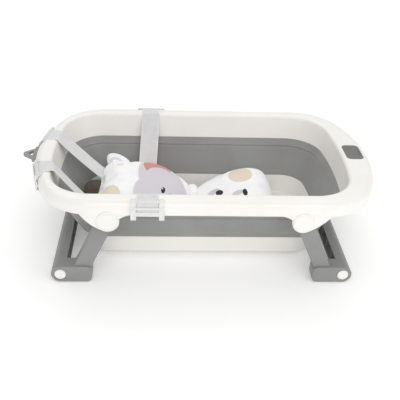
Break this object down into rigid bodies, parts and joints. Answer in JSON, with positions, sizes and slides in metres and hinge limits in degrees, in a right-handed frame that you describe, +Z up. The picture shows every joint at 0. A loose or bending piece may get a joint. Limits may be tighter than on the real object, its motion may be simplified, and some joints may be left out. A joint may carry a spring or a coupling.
{
  "type": "collapsible baby bathtub",
  "caption": "Folding baby bathtub: white oval rim, soft grey telescoping wall, white base tray, fold-under leg frames, drain plug, hanging loop and strapped bath cushion.",
  "frame": {"origin": "on the floor, at the middle of the footprint of the standing tub, hanging loop included", "axes": "+X towards the foot end with the soap rest, +Y to the rear side, +Z up"},
  "size_m": [0.852, 0.5058, 0.2229],
  "materials": {
    "white_plastic": "smooth moulded polypropylene",
    "grey_plastic": "fine-textured moulded polypropylene",
    "soft_grey_tpe": "soft matt thermoplastic elastomer",
    "dark_insert": "matt soft-touch insert",
    "grip_rubber": "matt anti-slip rubber",
    "steel": "zinc-plated steel",
    "bush_plastic": "plain bearing plastic",
    "drain_plastic": "moulded plastic",
    "clip_plastic": "semi-translucent white plastic",
    "webbing": "flat woven polyester webbing",
    "cushion_fabric": "printed knitted plush"
  },
  "bodies": {
    "rim": {"upper_rim": "white_plastic", "soap_rest": "dark_insert", "wall_band_1": "soft_grey_tpe", "bracket_screws": "steel", "loop_bracket": "grey_plastic", "loop_pin": "steel", "hinge_bracket_front_left": "white_plastic", "hinge_bracket_front_right": "white_plastic", "hinge_bracket_rear_left": "white_plastic", "hinge_bracket_rear_right": "white_plastic", "hinge_pin_front_left": "steel", "hinge_pin_front_right": "steel", "hinge_pin_rear_left": "steel", "hinge_pin_rear_right": "steel", "hinge_cap_front_left": "white_plastic", "hinge_cap_front_right": "white_plastic", "hinge_cap_rear_left": "white_plastic", "hinge_cap_rear_right": "white_plastic", "strap_clip_front": "clip_plastic", "strap_clip_rear": "clip_plastic", "strap_clip_head_front": "clip_plastic", "strap_clip_head_rear": "clip_plastic"},
    "wall_2": {"wall_band_2": "soft_grey_tpe"},
    "wall_3": {"wall_band_3": "soft_grey_tpe"},
    "wall_4": {"wall_band_4": "soft_grey_tpe"},
    "base": {"base_tray": "white_plastic", "base_pads": "grip_rubber", "drain_seat": "drain_plastic", "cushion_head": "cushion_fabric", "cushion_seat": "cushion_fabric", "cushion_ears": "cushion_fabric", "strap_front": "webbing", "strap_rear": "webbing", "strap_head_front": "webbing", "strap_head_rear": "webbing"},
    "plug": {"drain_plug": "drain_plastic", "plug_seal": "grip_rubber"},
    "left_leg": {"left_front_leg": "grey_plastic", "left_rear_leg": "grey_plastic", "left_front_foot_cap": "white_plastic", "left_rear_foot_cap": "white_plastic", "left_crossbar": "grey_plastic", "left_leg_bushes": "bush_plastic", "left_foot_pads": "grip_rubber", "left_foot_screws": "steel"},
    "right_leg": {"right_front_leg": "grey_plastic", "right_rear_leg": "grey_plastic", "right_front_foot_cap": "white_plastic", "right_rear_foot_cap": "white_plastic", "right_crossbar": "grey_plastic", "right_leg_bushes": "bush_plastic", "right_foot_pads": "grip_rubber", "right_foot_screws": "steel"},
    "loop": {"hanging_loop": "grey_plastic"}
  },
  "joints": [
    {"name": "base_lift", "type": "slide", "parent": "rim", "child": "base", "axis": [0, 0, 1], "range_m": [0, 0.146], "deforming": ["strap_front", "strap_rear", "strap_head_front", "strap_head_rear"]},
    {"name": "wall_2_slide", "type": "slide", "parent": "rim", "child": "wall_2", "axis": [0, 0, 1], "range_m": [0, 0.0367]},
    {"name": "wall_3_slide", "type": "slide", "parent": "rim", "child": "wall_3", "axis": [0, 0, 1], "range_m": [0, 0.0732]},
    {"name": "wall_4_slide", "type": "slide", "parent": "rim", "child": "wall_4", "axis": [0, 0, 1], "range_m": [0, 0.1097]},
    {"name": "left_leg_fold", "type": "hinge", "parent": "rim", "child": "left_leg", "pos_m": [-0.206, 0, 0.171], "axis": [0, -1, 0], "range_deg": [0, 105.5]},
    {"name": "right_leg_fold", "type": "hinge", "parent": "rim", "child": "right_leg", "pos_m": [0.224, 0, 0.171], "axis": [0, 1, 0], "range_deg": [0, 105.5]},
    {"name": "loop_fold", "type": "hinge", "parent": "rim", "child": "loop", "pos_m": [-0.398, 0.003, 0.199], "axis": [0, -1, 0], "range_deg": [0, 60]},
    {"name": "drain_plug_pull", "type": "slide", "parent": "base", "child": "plug", "axis": [0, 0, 1], "range_m": [0, 0.03]}
  ],
  "couplings": [
    {"joint": "wall_2_slide", "follows": "base_lift", "ratio": 0.25},
    {"joint": "wall_3_slide", "follows": "base_lift", "ratio": 0.5},
    {"joint": "wall_4_slide", "follows": "base_lift", "ratio": 0.75},
    {"joint": "left_leg_fold", "follows": "base_lift", "rad_per_m": 12.552},
    {"joint": "right_leg_fold", "follows": "base_lift", "rad_per_m": 12.552}
  ]
}
